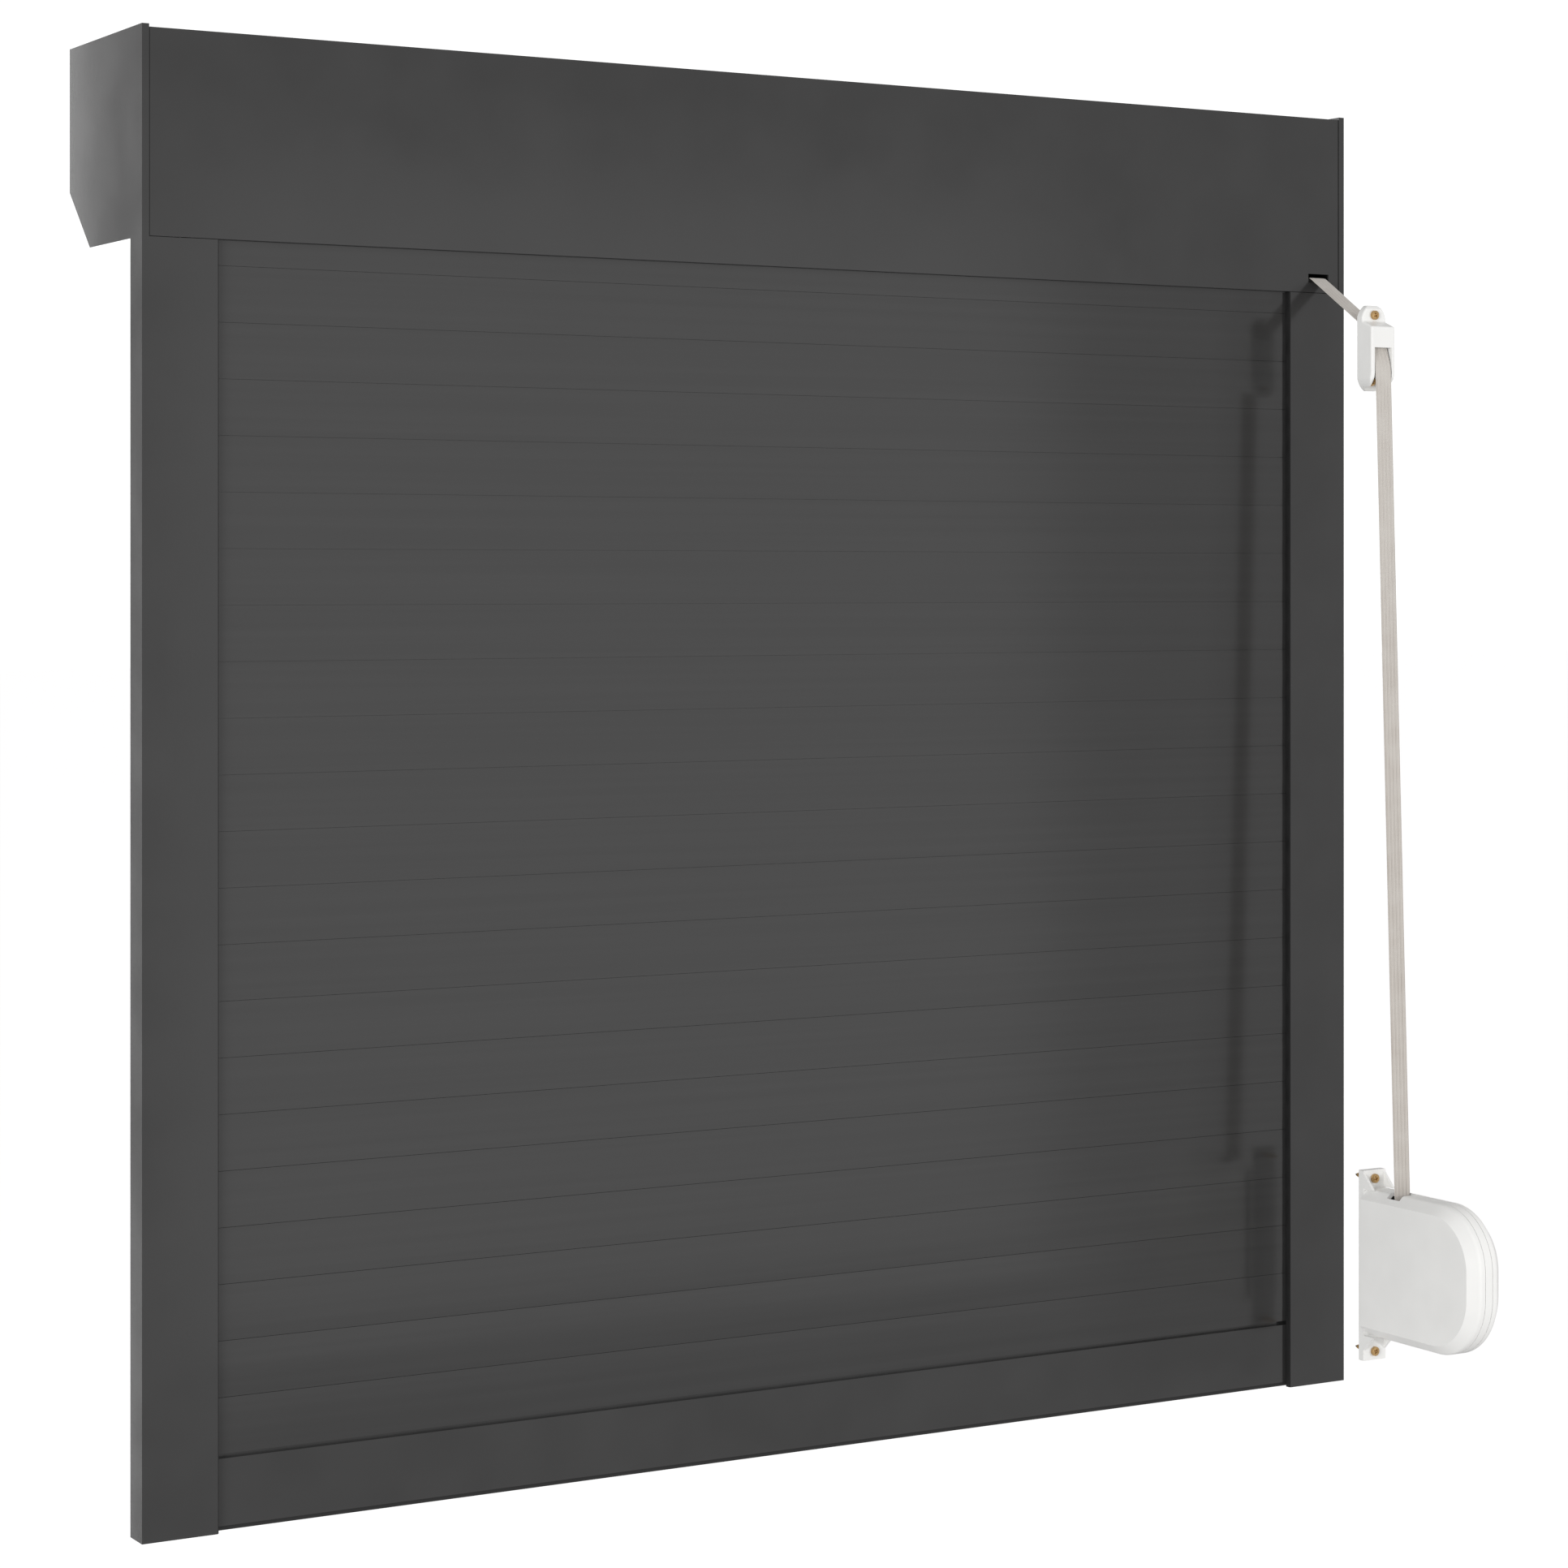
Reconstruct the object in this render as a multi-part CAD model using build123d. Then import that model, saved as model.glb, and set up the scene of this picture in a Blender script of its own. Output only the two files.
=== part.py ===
from build123d import *
import os
from math import asin, atan2, cos, hypot, pi, sin, sqrt

# Exterior roller shutter with a strap drive, seen from the room it shades.
# X runs along the window, Y points out of the room, Z is up. Lengths are millimetres.
# Y = 0 is the room-side face of rails and box, Z = 0 the sill, X = 0 the middle.

# The whole shutter
shutter_width = 1000
shutter_height = 1000
fit_clearance = 0.2      # between pieces that are pushed together
running_gap = 0.3        # between pieces that move past each other
cut_overrun = 5          # how far a cutting tool reaches past what it cuts

# The box that holds the rolled curtain
box_height = 140
box_depth = 142
box_bevel = 41           # leg of the 45 degree slope at the outer lower edge
end_plate_thickness = 5
end_rim_depth = 7        # how far the end plate's rim reaches into the box
end_rim_wall = 2.5
sheet_thickness = 1.5
panel_setback = 0.5      # room panel and underside, in from the end plates' edges
sheet_setback = 2        # all other sheets, in from the end plates' edges
panel_hem = 1.2          # lower edge of the room panel, turned outwards between the rails
sheet_gap = 0.5          # open line between each end of a sheet and the end plate
top_hem = 14             # upper edge of the outer panel, turned in under the top
underside_start = 19.8   # where the service cover begins behind the curtain mouth

# The guide rails
rail_width = 53
rail_depth = 22
rail_wall = 1.6
groove_depth = 20.5
seal_channel = 3.4
seal_channel_depth = 2
seal_inset = 2.6         # rail mouth to the channel that holds the seal
seal_skin = 0.8          # seal lip that covers the edge of the rail mouth
inlet_height = 24        # funnel above each rail
inlet_wall = 1.8
inlet_flare = 7
inlet_setback = 2        # groove's floor to the funnel's end wall
spigot_length = 45       # foot of the end plate inside the rail

# The curtain
slat_pitch = 37.7
slat_thickness = 8
slat_skin = 0.45
slat_bow = 0.15          # how far each face of a slat bulges
joint_gap = 0.25         # open line between two slats
face_recess = 5          # rail face to curtain face
end_play = 5.5           # slat end to the bottom of the groove
hook_wall = 0.7
hook_rise = 3.5          # hook's top above the slat it hangs in
hook_drop = 2.2          # length of the turned-down tip
pocket_depth = 4.3
pocket_lip = 0.8

# The bottom bar
bar_height = 48.6        # sill to the top of the bar's face
bar_wall = 1.1
bar_web = 24             # height of the cross wall above the bar's foot
bar_neck = 3.05          # recess between the bar's face and the first slat
seal_height = 3.6        # rubber below the bar
seal_root = 4
seal_root_depth = 2.4
stopper_reach = 19
stopper_radius = 8
stopper_tip_radius = 5.5
stopper_spacing = 660
stopper_height = 33      # sill to the stopper's middle

# The shaft
shaft_across_flats = 40
shaft_wall = 1
shaft_forward = 1        # middle of the box's depth to the shaft's axis, towards the room
shaft_end_gap = 7        # tube end to the pulley or collar
plug_length = 32
collar_thickness = 4
collar_radius = 26
pin_radius = 5
pin_clearance = 0.05
bearing_radius = 12
bearing_width = 6
bearing_ring = 2.2
boss_wall = 4

# The strap and its pulley
strap_width = 15
strap_thickness = 1
strap_inset = 25         # right end of the shutter to the middle of the strap
slot_width = 20
slot_height = 7
slot_rise = 11.6         # box underside to the middle of the strap in its slot
pulley_margin = 13       # flange edge to the box at its tightest
pulley_flange_rise = 12  # hub up to the edge of the flanges
pulley_flange = 2
pulley_side_gap = 1.5    # strap edge to flange
pulley_holes = 6
pulley_hole_radius = 8
coil_depth = 5           # strap wound on the pulley with the curtain down
hanger_room = 11         # shaft's axis down to the highest the curtain's top may be
hanger_spacing = 300
hanger_width = 22
hanger_thickness = 0.8
hanger_bend = 24
hanger_tail = 8          # strip past the shaft's middle, where it is riveted
clip_height = 6.5
clip_thickness = 5
rivet_radius = 2.5

# The wall in front of which guide and winder are screwed
wall_gap = 62            # room-side face of the rails to the wall face

# The strap guide
guide_drop = 80          # box underside to the guide's lower end
guide_height = 66
guide_width = 23
guide_end_width = 10     # flat part of its round ends
guide_round = 16         # height of each rounded end
guide_edge = 1.5         # rounding of its front edges
guide_plate = 2.5
guide_head = 6.5         # thickness of the flat head under the upper screw
guide_crown = 4          # thickness at the very top
guide_shoulder = 12.5    # guide's top to the foot of the slope that rises to the bridge
guide_tail_end = 4.5     # thickness at the very bottom
guide_reach = 8.5        # wall face to the strap where it turns down
guide_turn_drop = 34     # box underside to the corner of the strap's route
guide_bend = 6.5
guide_side_gap = 0.9     # strap edge to the guide's cheeks
guide_exit_reach = 17.2  # wall face to the strap where it leaves the guide
guide_exit_drop = 62     # box underside to that place
guide_exit_bend = 30
bridge_thickness = 4
bridge_start = 33        # guide's lower end to the bridge
bridge_height = 16
bridge_reach = 17.5      # wall face to the front of the bridge
cheek_start = 16         # guide's lower end to where the cheeks have their full depth
lane_roof_drop = 12      # guide's top to the lane's roof at the wall
lane_roof_slope = 8      # how far that roof falls towards the bridge
rib_height = 5           # cross rib that carries the strap where it leaves
guide_hole_drop = 7.5    # guide's top to its upper screw
guide_hole_spacing = 51
counterbore = 0.7        # screw head's edge to the wall of its recess

# The strap winder
winder_low = 31          # sill to the lower end of the mounting plate
winder_height = 147
winder_shift = 2.5       # middle of the strap to the middle of the winder's case
plate_shift = 1          # middle of the strap to the middle of the mounting plate
winder_plate_width = 22
winder_plate = 5.5
winder_hole_spacing = 133.6
case_top = 164           # sill to the top of the case
case_low = 51
case_depth = 137         # wall face to the front of the case
case_width = 31
case_wall = 2.4
case_band = 6.5          # middle part between the two covers
case_top_radius = 46
case_low_radius = 48
case_edge_bevel = 7.5    # slope round each cover's flat side
case_edge_radius = 4     # rounding between that slope and the rim
case_parting = 0.4       # open line between band and cover
plate_corner = 0.8       # rounding of the mounting plate's corners
gusset = 11.5
gusset_wall = 2
inlet_reach = 40         # wall face to the strap at the top of the case
inlet_opening = 15
mouth_bend = 13          # where the strap turns from the inlet to the reel
reel_reach = 80          # wall face to the reel's axis
reel_height = 108        # sill to the reel's axis
reel_radius = 43
reel_hub_radius = 20
reel_coil_radius = 24
reel_side_gap = 0.7      # strap edge to reel flange
reel_flange = 1.5
reel_wall = 2
axle_radius = 4
axle_seat = 1            # how deep the axle's ends sit in the covers' sides
spring_radius = 16

# The screws
screw_head_radius = 3.6
screw_head_height = 2.4
screw_radius = 1.9
screw_neck_radius = 1.7  # plain shank under the head, thinner than the rolled thread
screw_tip = 4
winder_screw_reach = 18  # screw past the wall face
guide_screw_reach = 6
cover_screw_length = 9


# Places worked out from the sizes above
half_width = shutter_width / 2
box_bottom = shutter_height - box_height
shaft_y = box_depth / 2 - shaft_forward
shaft_z = shutter_height - box_height / 2
pulley_radius = min(box_depth, box_height) / 2 - pulley_margin
pulley_hub_radius = pulley_radius - pulley_flange_rise
coil_radius = pulley_hub_radius + coil_depth
slat_half_length = half_width - rail_width + groove_depth - end_play
strap_x = half_width - strap_inset
strap_slot_z = box_bottom + slot_rise
winder_x = strap_x + winder_shift
plate_x = strap_x + plate_shift
slat_foot = bar_height + bar_neck
slat_count = int((shaft_z - hanger_room - slat_foot) / slat_pitch)
guide_low = box_bottom - guide_drop
guide_turn = box_bottom - guide_turn_drop
guide_exit = box_bottom - guide_exit_drop
bridge_low = guide_low + bridge_start
bridge_high = bridge_low + bridge_height


def slab(x_span, y_span, z_span):
    """A block between two places on each axis."""
    lengths = [high - low for low, high in (x_span, y_span, z_span)]
    middles = [(high + low) / 2 for low, high in (x_span, y_span, z_span)]
    return Pos(*middles) * Box(*lengths)


def rectangle(u_span, v_span):
    """A flat rectangle between two places on each axis of its sketch."""
    lengths = [high - low for low, high in (u_span, v_span)]
    middles = [(high + low) / 2 for low, high in (u_span, v_span)]
    return Pos(*middles) * Rectangle(*lengths)


def along_x(face, x_start, x_end):
    """A side view, drawn as Y and Z, drawn out from one X to another."""
    return Pos(x_start, 0, 0) * extrude(Plane.YZ * face, amount=x_end - x_start)


def disc_x(radius, x_start, x_end, y, z):
    """A round bar along X."""
    return along_x(Pos(y, z) * Circle(radius), x_start, x_end)


def polygon(*points):
    """A flat face inside straight edges."""
    return make_face(Polyline(*points, close=True))


def single(shape):
    """The one solid that a group of joined solids should have become."""
    solids = shape.solids()
    return solids[0] if len(solids) == 1 else Compound(children=list(solids))


def mirrored(shape):
    """The same piece for the other end of the shutter."""
    return mirror(shape, about=Plane.YZ)


def save(shape, name):
    """Write one piece to its file."""
    export_step(shape, f"parts/{name}.step")


def box_outline(room_inset, low_inset, inset):
    """Side view of the box, drawn in from its room face, underside and other sides."""
    slope_low = box_depth - box_bevel - inset * sqrt(2) + low_inset
    slope_high = box_bottom + box_bevel + inset * (sqrt(2) - 1)
    return polygon(
        (room_inset, box_bottom + low_inset),
        (slope_low, box_bottom + low_inset),
        (box_depth - inset, slope_high),
        (box_depth - inset, shutter_height - inset),
        (room_inset, shutter_height - inset),
    )


def box_sheets():
    """Side view of the sheet metal that closes the box all round."""
    outside = box_outline(panel_setback, panel_setback, sheet_setback)
    wall = sheet_thickness
    inside = box_outline(panel_setback + wall, panel_setback + wall, sheet_setback + wall)
    return outside - inside


def sheet_piece(face):
    """One sheet of the box, as long as the space between the end plates."""
    reach = half_width - end_plate_thickness - sheet_gap
    return along_x(face, -reach, reach)


def room_panel():
    """Upright sheet on the room side with the top of the box and a strap slot."""
    panel_face = panel_setback + sheet_thickness
    upright = rectangle((0, panel_face), (0, shutter_height))
    roof = rectangle((0, box_depth - sheet_setback - sheet_thickness - fit_clearance),
                     (shutter_height - sheet_setback - sheet_thickness, shutter_height))
    hem = rectangle((panel_face, panel_face + panel_hem),
                    (box_bottom + panel_setback, box_bottom + panel_setback + sheet_thickness))
    hem_reach = half_width - rail_width - fit_clearance
    panel = sheet_piece(box_sheets() & (upright + roof)) + along_x(hem, -hem_reach, hem_reach)
    slot = slab((strap_x - slot_width / 2, strap_x + slot_width / 2),
                (-cut_overrun, panel_face + cut_overrun),
                (strap_slot_z - slot_height / 2, strap_slot_z + slot_height / 2))
    return single(panel - slot)


def outer_panel():
    """Upright sheet on the weather side, hemmed in under the top of the box."""
    outer_face = box_depth - sheet_setback
    upright = rectangle((outer_face - sheet_thickness, outer_face),
                        (box_bottom + box_bevel + sheet_setback, shutter_height))
    hem_top = shutter_height - sheet_setback - sheet_thickness - fit_clearance
    hem = rectangle((outer_face - top_hem, outer_face - sheet_thickness / 2),
                    (hem_top - sheet_thickness, hem_top))
    hem_reach = half_width - end_plate_thickness - end_rim_depth - fit_clearance
    return single(sheet_piece(box_sheets() & upright) + along_x(hem, -hem_reach, hem_reach))


def service_cover():
    """Slope and underside of the box in one sheet, taken off to reach the shaft."""
    low = rectangle((underside_start, box_depth),
                    (0, box_bottom + box_bevel + sheet_setback - fit_clearance))
    cover = sheet_piece(box_sheets() & low)
    for hole in cover_screw_shanks(screw_radius + fit_clearance):
        cover -= hole
    return single(cover)


def cover_screw_planes():
    """Where the service cover is screwed to the end plates' rims, on its slope."""
    slope_middle = box_depth - box_bevel / 2 - sheet_setback / sqrt(2)
    slope_height = box_bottom + box_bevel / 2 + sheet_setback / sqrt(2)
    place = half_width - end_plate_thickness - screw_head_radius - fit_clearance
    return [Plane(origin=(side * place, slope_middle + step, slope_height + step),
                  z_dir=(0, -1, 1))
            for side in (-1, 1)
            for step in (-box_bevel / 4, box_bevel / 4)]


def cover_screw_shanks(radius):
    """Round bars along the cover's screws."""
    both_ways = (Align.CENTER, Align.CENTER, Align.CENTER)
    length = 2 * cover_screw_length
    return [plane * Cylinder(radius, length, align=both_ways) for plane in cover_screw_planes()]


def screw(held, length):
    """A pan-head screw with its seat at zero, pointing up; its neck fills the sheet it holds."""
    profile = polygon(
        (0, -screw_head_height), (screw_head_radius / 2, -screw_head_height),
        (screw_head_radius, -screw_head_height / 3), (screw_head_radius, 0),
        (screw_neck_radius, 0), (screw_neck_radius, held), (screw_radius, held),
        (screw_radius, length - screw_tip), (0, length))
    return revolve(Plane.XZ * profile, Axis.Z)


def cover_screws():
    """The four screws that hold the service cover."""
    one = screw(sheet_thickness, cover_screw_length)
    return Compound(children=[plane * one for plane in cover_screw_planes()])


def end_plate_right():
    """Cast end of the box: plate, rim, bearing boss and the foot that plugs into the rail."""
    inner_face = half_width - end_plate_thickness
    rim_start = inner_face - end_rim_depth
    plate = along_x(box_outline(0, 0, 0), inner_face, half_width)
    fit = sheet_thickness + fit_clearance
    rim_room = panel_setback + fit
    rim_low = panel_setback + fit
    rim_far = sheet_setback + fit
    rim_outer = box_outline(rim_room, rim_low, rim_far)
    rim_inner = box_outline(rim_room + end_rim_wall, rim_low + end_rim_wall, rim_far + end_rim_wall)
    rim = along_x(rim_outer - rim_inner, rim_start, inner_face)
    boss_radius = bearing_radius + boss_wall
    boss_start = inner_face - bearing_width
    boss = disc_x(boss_radius, boss_start, inner_face, shaft_y, shaft_z)
    seat = disc_x(bearing_radius + pin_clearance, boss_start - cut_overrun, inner_face,
                  shaft_y, shaft_z)
    plate = plate + rim + boss - seat
    for turn in range(4):
        rib = slab((boss_start, inner_face), (boss_radius - boss_wall / 2, box_height / 3),
                   (-end_rim_wall / 2, end_rim_wall / 2))
        plate += Pos(0, shaft_y, shaft_z) * Rot(45 + 90 * turn, 0, 0) * rib
    foot_x = (half_width - rail_chamber_width() - rail_wall + fit_clearance,
              half_width - rail_wall - fit_clearance)
    foot_y = (rail_wall + fit_clearance, rail_depth - rail_wall - fit_clearance)
    foot = slab(foot_x, foot_y, (box_bottom - spigot_length, box_bottom))
    core_x = (foot_x[0] + end_rim_wall, foot_x[1] - end_rim_wall)
    core_y = (foot_y[0] + end_rim_wall, foot_y[1] - end_rim_wall)
    core = slab(core_x, core_y, (box_bottom - spigot_length - cut_overrun, box_bottom))
    shoulder_start = strap_x + strap_width / 2 + pulley_side_gap + running_gap
    shoulder_y = (panel_setback + sheet_thickness + panel_hem + fit_clearance,
                  underside_start - fit_clearance)
    shoulder = slab((shoulder_start, inner_face), shoulder_y,
                    (box_bottom, box_bottom + rim_low + end_rim_wall))
    end = plate + shoulder + foot - core
    for hole in cover_screw_shanks(screw_radius + pin_clearance):
        end -= hole
    return single(end)


def rail_chamber_width():
    """Clear width of the closed chamber along the outer side of a rail."""
    return rail_width - groove_depth - 2 * rail_wall


def groove_span():
    """Near and far side of the groove that the slats run in."""
    side = seal_lip() + running_gap
    return face_recess - side, face_recess + slat_thickness + side


def seal_lip():
    """How far a rail seal stands out of the groove's wall."""
    return slat_bow + slat_skin


def guide_rail_right():
    """Extruded rail: a groove for the slats, two seal channels and a closed chamber."""
    near, far = groove_span()
    mouth = half_width - rail_width
    floor = mouth + groove_depth
    section = rectangle((mouth, half_width), (0, rail_depth))
    section -= rectangle((floor + rail_wall, half_width - rail_wall),
                         (rail_wall, rail_depth - rail_wall))
    section -= rectangle((mouth, floor), (near, far))
    for low, high in seal_channels():
        section -= rectangle((mouth + seal_inset, mouth + seal_inset + seal_channel), (low, high))
    for low, high in ((rail_wall, near - rail_wall), (far + rail_wall, rail_depth - rail_wall)):
        if high - low > rail_wall:
            section -= rectangle((mouth + seal_inset + seal_channel + rail_wall, floor), (low, high))
    return single(extrude(section, amount=box_bottom))


def seal_channels():
    """Depth spans of the channels in the groove's two walls."""
    near, far = groove_span()
    return (near - seal_channel_depth, near), (far, far + seal_channel_depth)


def rail_seals_right():
    """Two rubber strips, keyed into the groove's walls, that keep the slats from rattling."""
    near, far = groove_span()
    lip = seal_lip()
    mouth = half_width - rail_width
    key = (mouth + seal_inset + fit_clearance, mouth + seal_inset + seal_channel - fit_clearance)
    strips = []
    for wall, inward in ((near, 1), (far, -1)):
        back = wall - inward * (seal_channel_depth - fit_clearance)
        front = wall + inward * lip
        edge = 0 if inward > 0 else rail_depth
        skin_end = edge + inward * seal_skin
        strip = rectangle(key, sorted((back, front)))
        strip += rectangle((mouth - seal_skin, key[1]), sorted((wall, front)))
        strip += rectangle((mouth - seal_skin, mouth), sorted((skin_end, front)))
        strips.append(extrude(strip, amount=box_bottom))
    return Compound(children=strips)


def rail_inlet_right():
    """Plastic funnel that leads the slats from the roll into the rail."""
    near, far = groove_span()
    mouth = half_width - rail_width
    floor = mouth + groove_depth
    low = box_bottom
    high = box_bottom + inlet_height
    bend = box_bottom + inlet_height / 3
    leg_near = polygon(
        (near, low), (near, bend), (near - inlet_wall / 2, high),
        (near - inlet_wall, high), (near - inlet_wall, low))
    leg_far = polygon(
        (far, low), (far, bend), (far + inlet_flare, high),
        (far + inlet_flare + inlet_wall, high), (far + inlet_wall, bend), (far + inlet_wall, low))
    end = floor - inlet_setback
    legs = along_x(leg_near, mouth + seal_skin, end) + along_x(leg_far, mouth + seal_skin, end)
    web = slab((end - inlet_wall, end), (near - inlet_wall, far + inlet_wall), (low, high))
    return single(legs + web)


def slat_face():
    """Side view of one slat's body: two bowed faces and square ends, from its foot at zero."""
    height = slat_pitch - joint_gap
    near = slat_bow
    far = slat_thickness - slat_bow
    edges = [
        Line((near, 0), (far, 0)),
        ThreePointArc((far, 0), (slat_thickness, height / 2), (far, height)),
        Line((far, height), (near, height)),
        ThreePointArc((near, height), (0, height / 2), (near, 0)),
    ]
    return make_face(edges)


def hook_face(height, foot, setback=0):
    """Side view of the hook on a slat's upper edge, which hangs in the next slat's pocket."""
    margin = slat_bow + slat_skin + hook_wall + running_gap
    stem = margin + setback
    tip = slat_thickness - margin
    top = height + foot + hook_rise
    return (rectangle((stem, stem + hook_wall), (height - hook_wall, top))
            + rectangle((stem, tip), (top - hook_wall, top))
            + rectangle((tip - hook_wall, tip), (top - hook_drop, top)))


def slat(index):
    """One roll-formed slat: a hollow body, a pocket along its foot and a hook along its head."""
    height = slat_pitch - joint_gap
    body = slat_face()
    inside = offset(body, amount=-slat_skin, kind=Kind.INTERSECTION)
    inside -= rectangle((0, slat_thickness), (0, pocket_depth + slat_skin))
    wall = slat_bow + slat_skin + hook_wall
    opening = slat_thickness / 2 + hook_wall
    pocket = rectangle((wall, slat_thickness - wall), (pocket_lip, pocket_depth))
    pocket += rectangle((wall, opening), (0, pocket_lip))
    profile = body - inside - pocket + hook_face(height, joint_gap)
    foot = slat_foot + index * slat_pitch
    return along_x(Pos(face_recess, foot) * profile, -slat_half_length, slat_half_length)


def bottom_bar():
    """Extruded bar that closes the curtain: two chambers, a rubber groove and a hook."""
    far = slat_thickness
    section = rectangle((0, far), (seal_height, bar_height))
    section -= rectangle((bar_wall, far - bar_wall), (seal_height + seal_root_depth + bar_wall,
                                                      bar_web))
    section -= rectangle((bar_wall, far - bar_wall), (bar_web + bar_wall, bar_height - bar_wall))
    middle = slat_thickness / 2
    section -= rectangle((middle - seal_root / 2, middle + seal_root / 2),
                         (seal_height, seal_height + seal_root_depth))
    shallowest = slat_bow + slat_skin + hook_wall + running_gap
    section += hook_face(bar_height, bar_neck, middle - running_gap - shallowest)
    return along_x(Pos(face_recess, 0) * section, -slat_half_length, slat_half_length)


def bottom_seal():
    """Rubber strip under the bar that meets the sill: a hollow bulb with a keyed root."""
    middle = slat_thickness / 2
    half_foot = middle - slat_skin
    shoulder = seal_height / 2
    bulb = make_face([
        Line((-half_foot, seal_height), (-half_foot, shoulder)),
        ThreePointArc((-half_foot, shoulder), (0, 0), (half_foot, shoulder)),
        Line((half_foot, shoulder), (half_foot, seal_height)),
        Line((half_foot, seal_height), (-half_foot, seal_height)),
    ])
    bore = Pos(0, seal_height / 2 + hook_wall / 2) * Circle(seal_height / 4)
    root = rectangle((fit_clearance - seal_root / 2, seal_root / 2 - fit_clearance),
                     (seal_height, seal_height + seal_root_depth - fit_clearance))
    section = Pos(face_recess + middle, 0) * (bulb - bore + root)
    return along_x(section, -slat_half_length, slat_half_length)


def bar_stoppers():
    """Two blocks on the weather side of the bar that meet the box when the curtain is up."""
    start = face_recess + slat_thickness
    stoppers = []
    for side in (-1, 1):
        seat = Plane(origin=(side * stopper_spacing / 2, start, stopper_height), z_dir=(0, 1, 0))
        base = seat * Circle(stopper_radius)
        end = seat.offset(stopper_reach) * Circle(stopper_tip_radius)
        stoppers.append(loft([base, end]))
    return Compound(children=stoppers)


def octagon(across_flats):
    """Side view of an eight-sided shaft, one flat upwards."""
    sides = 8
    shape = RegularPolygon(across_flats / 2, sides, major_radius=False)
    return Pos(shaft_y, shaft_z) * Rot(0, 0, 180 / sides) * shape


def pulley_inner_face():
    """X of the pulley's face that looks along the shaft."""
    return strap_x - strap_width / 2 - pulley_side_gap - pulley_flange


def pulley_outer_face():
    """X of the pulley's face that looks at the end plate."""
    return strap_x + strap_width / 2 + pulley_side_gap + pulley_flange


def bearing_start():
    """X of the bearing's inner side."""
    return half_width - end_plate_thickness - bearing_width


def shaft_tube():
    """Eight-sided steel tube that the curtain rolls up on."""
    reach = pulley_inner_face() - shaft_end_gap
    inside = shaft_across_flats - 2 * shaft_wall
    return single(along_x(octagon(shaft_across_flats) - octagon(inside), -reach, reach))


def shaft_plug(x_start, x_end):
    """Eight-sided plug that turns with the tube."""
    inside = shaft_across_flats - 2 * shaft_wall - 2 * fit_clearance
    return along_x(octagon(inside), x_start, x_end)


def strap_pulley():
    """Flanged pulley whose plug fills the right end of the shaft, with its pin."""
    inner, outer = pulley_inner_face(), pulley_outer_face()
    body = disc_x(pulley_hub_radius, inner, outer, shaft_y, shaft_z)
    for start in (inner, outer - pulley_flange):
        body += disc_x(pulley_radius, start, start + pulley_flange, shaft_y, shaft_z)
    ring = (pulley_hub_radius + pin_radius) / 2
    for index in range(pulley_holes):
        turn = 2 * pi * index / pulley_holes
        body -= disc_x(pulley_hole_radius, inner - cut_overrun, outer + cut_overrun,
                       shaft_y + ring * cos(turn), shaft_z + ring * sin(turn))
    body += shaft_plug(inner - plug_length, inner)
    shoulder_end = bearing_start() - running_gap
    body += disc_x(pin_radius + bearing_ring / 2, outer, shoulder_end, shaft_y, shaft_z)
    body += disc_x(pin_radius, outer, bearing_start() + bearing_width - running_gap,
                   shaft_y, shaft_z)
    return single(body)


def end_plug():
    """Collared plug in the left end of the shaft, with the pin that runs in the bearing."""
    inner = pulley_inner_face()
    body = disc_x(collar_radius, inner - collar_thickness, inner, shaft_y, shaft_z)
    body += shaft_plug(inner - plug_length, inner)
    shoulder_end = bearing_start() - running_gap
    body += disc_x(pin_radius + bearing_ring / 2, inner, shoulder_end, shaft_y, shaft_z)
    body += disc_x(pin_radius, inner, bearing_start() + bearing_width - running_gap,
                   shaft_y, shaft_z)
    return mirrored(single(body))


def bearing_right():
    """Shielded ball bearing in the end plate's boss."""
    start = bearing_start()
    end = start + bearing_width
    body = disc_x(bearing_radius, start, end, shaft_y, shaft_z)
    shield_outer = bearing_radius - bearing_ring
    shield_inner = pin_radius + pin_clearance + bearing_ring
    recess = bearing_width / 10
    for low, high in ((start, start + recess), (end - recess, end)):
        body -= (disc_x(shield_outer, low, high, shaft_y, shaft_z)
                 - disc_x(shield_inner, low, high, shaft_y, shaft_z))
    bore = disc_x(pin_radius + pin_clearance, start - cut_overrun, end + cut_overrun,
                  shaft_y, shaft_z)
    return single(body - bore)


def strap_coil():
    """The strap wound on the pulley while the curtain is down."""
    low = strap_x - strap_width / 2
    high = strap_x + strap_width / 2
    return single(disc_x(coil_radius, low, high, shaft_y, shaft_z)
                  - disc_x(pulley_hub_radius, low, high, shaft_y, shaft_z))


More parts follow.
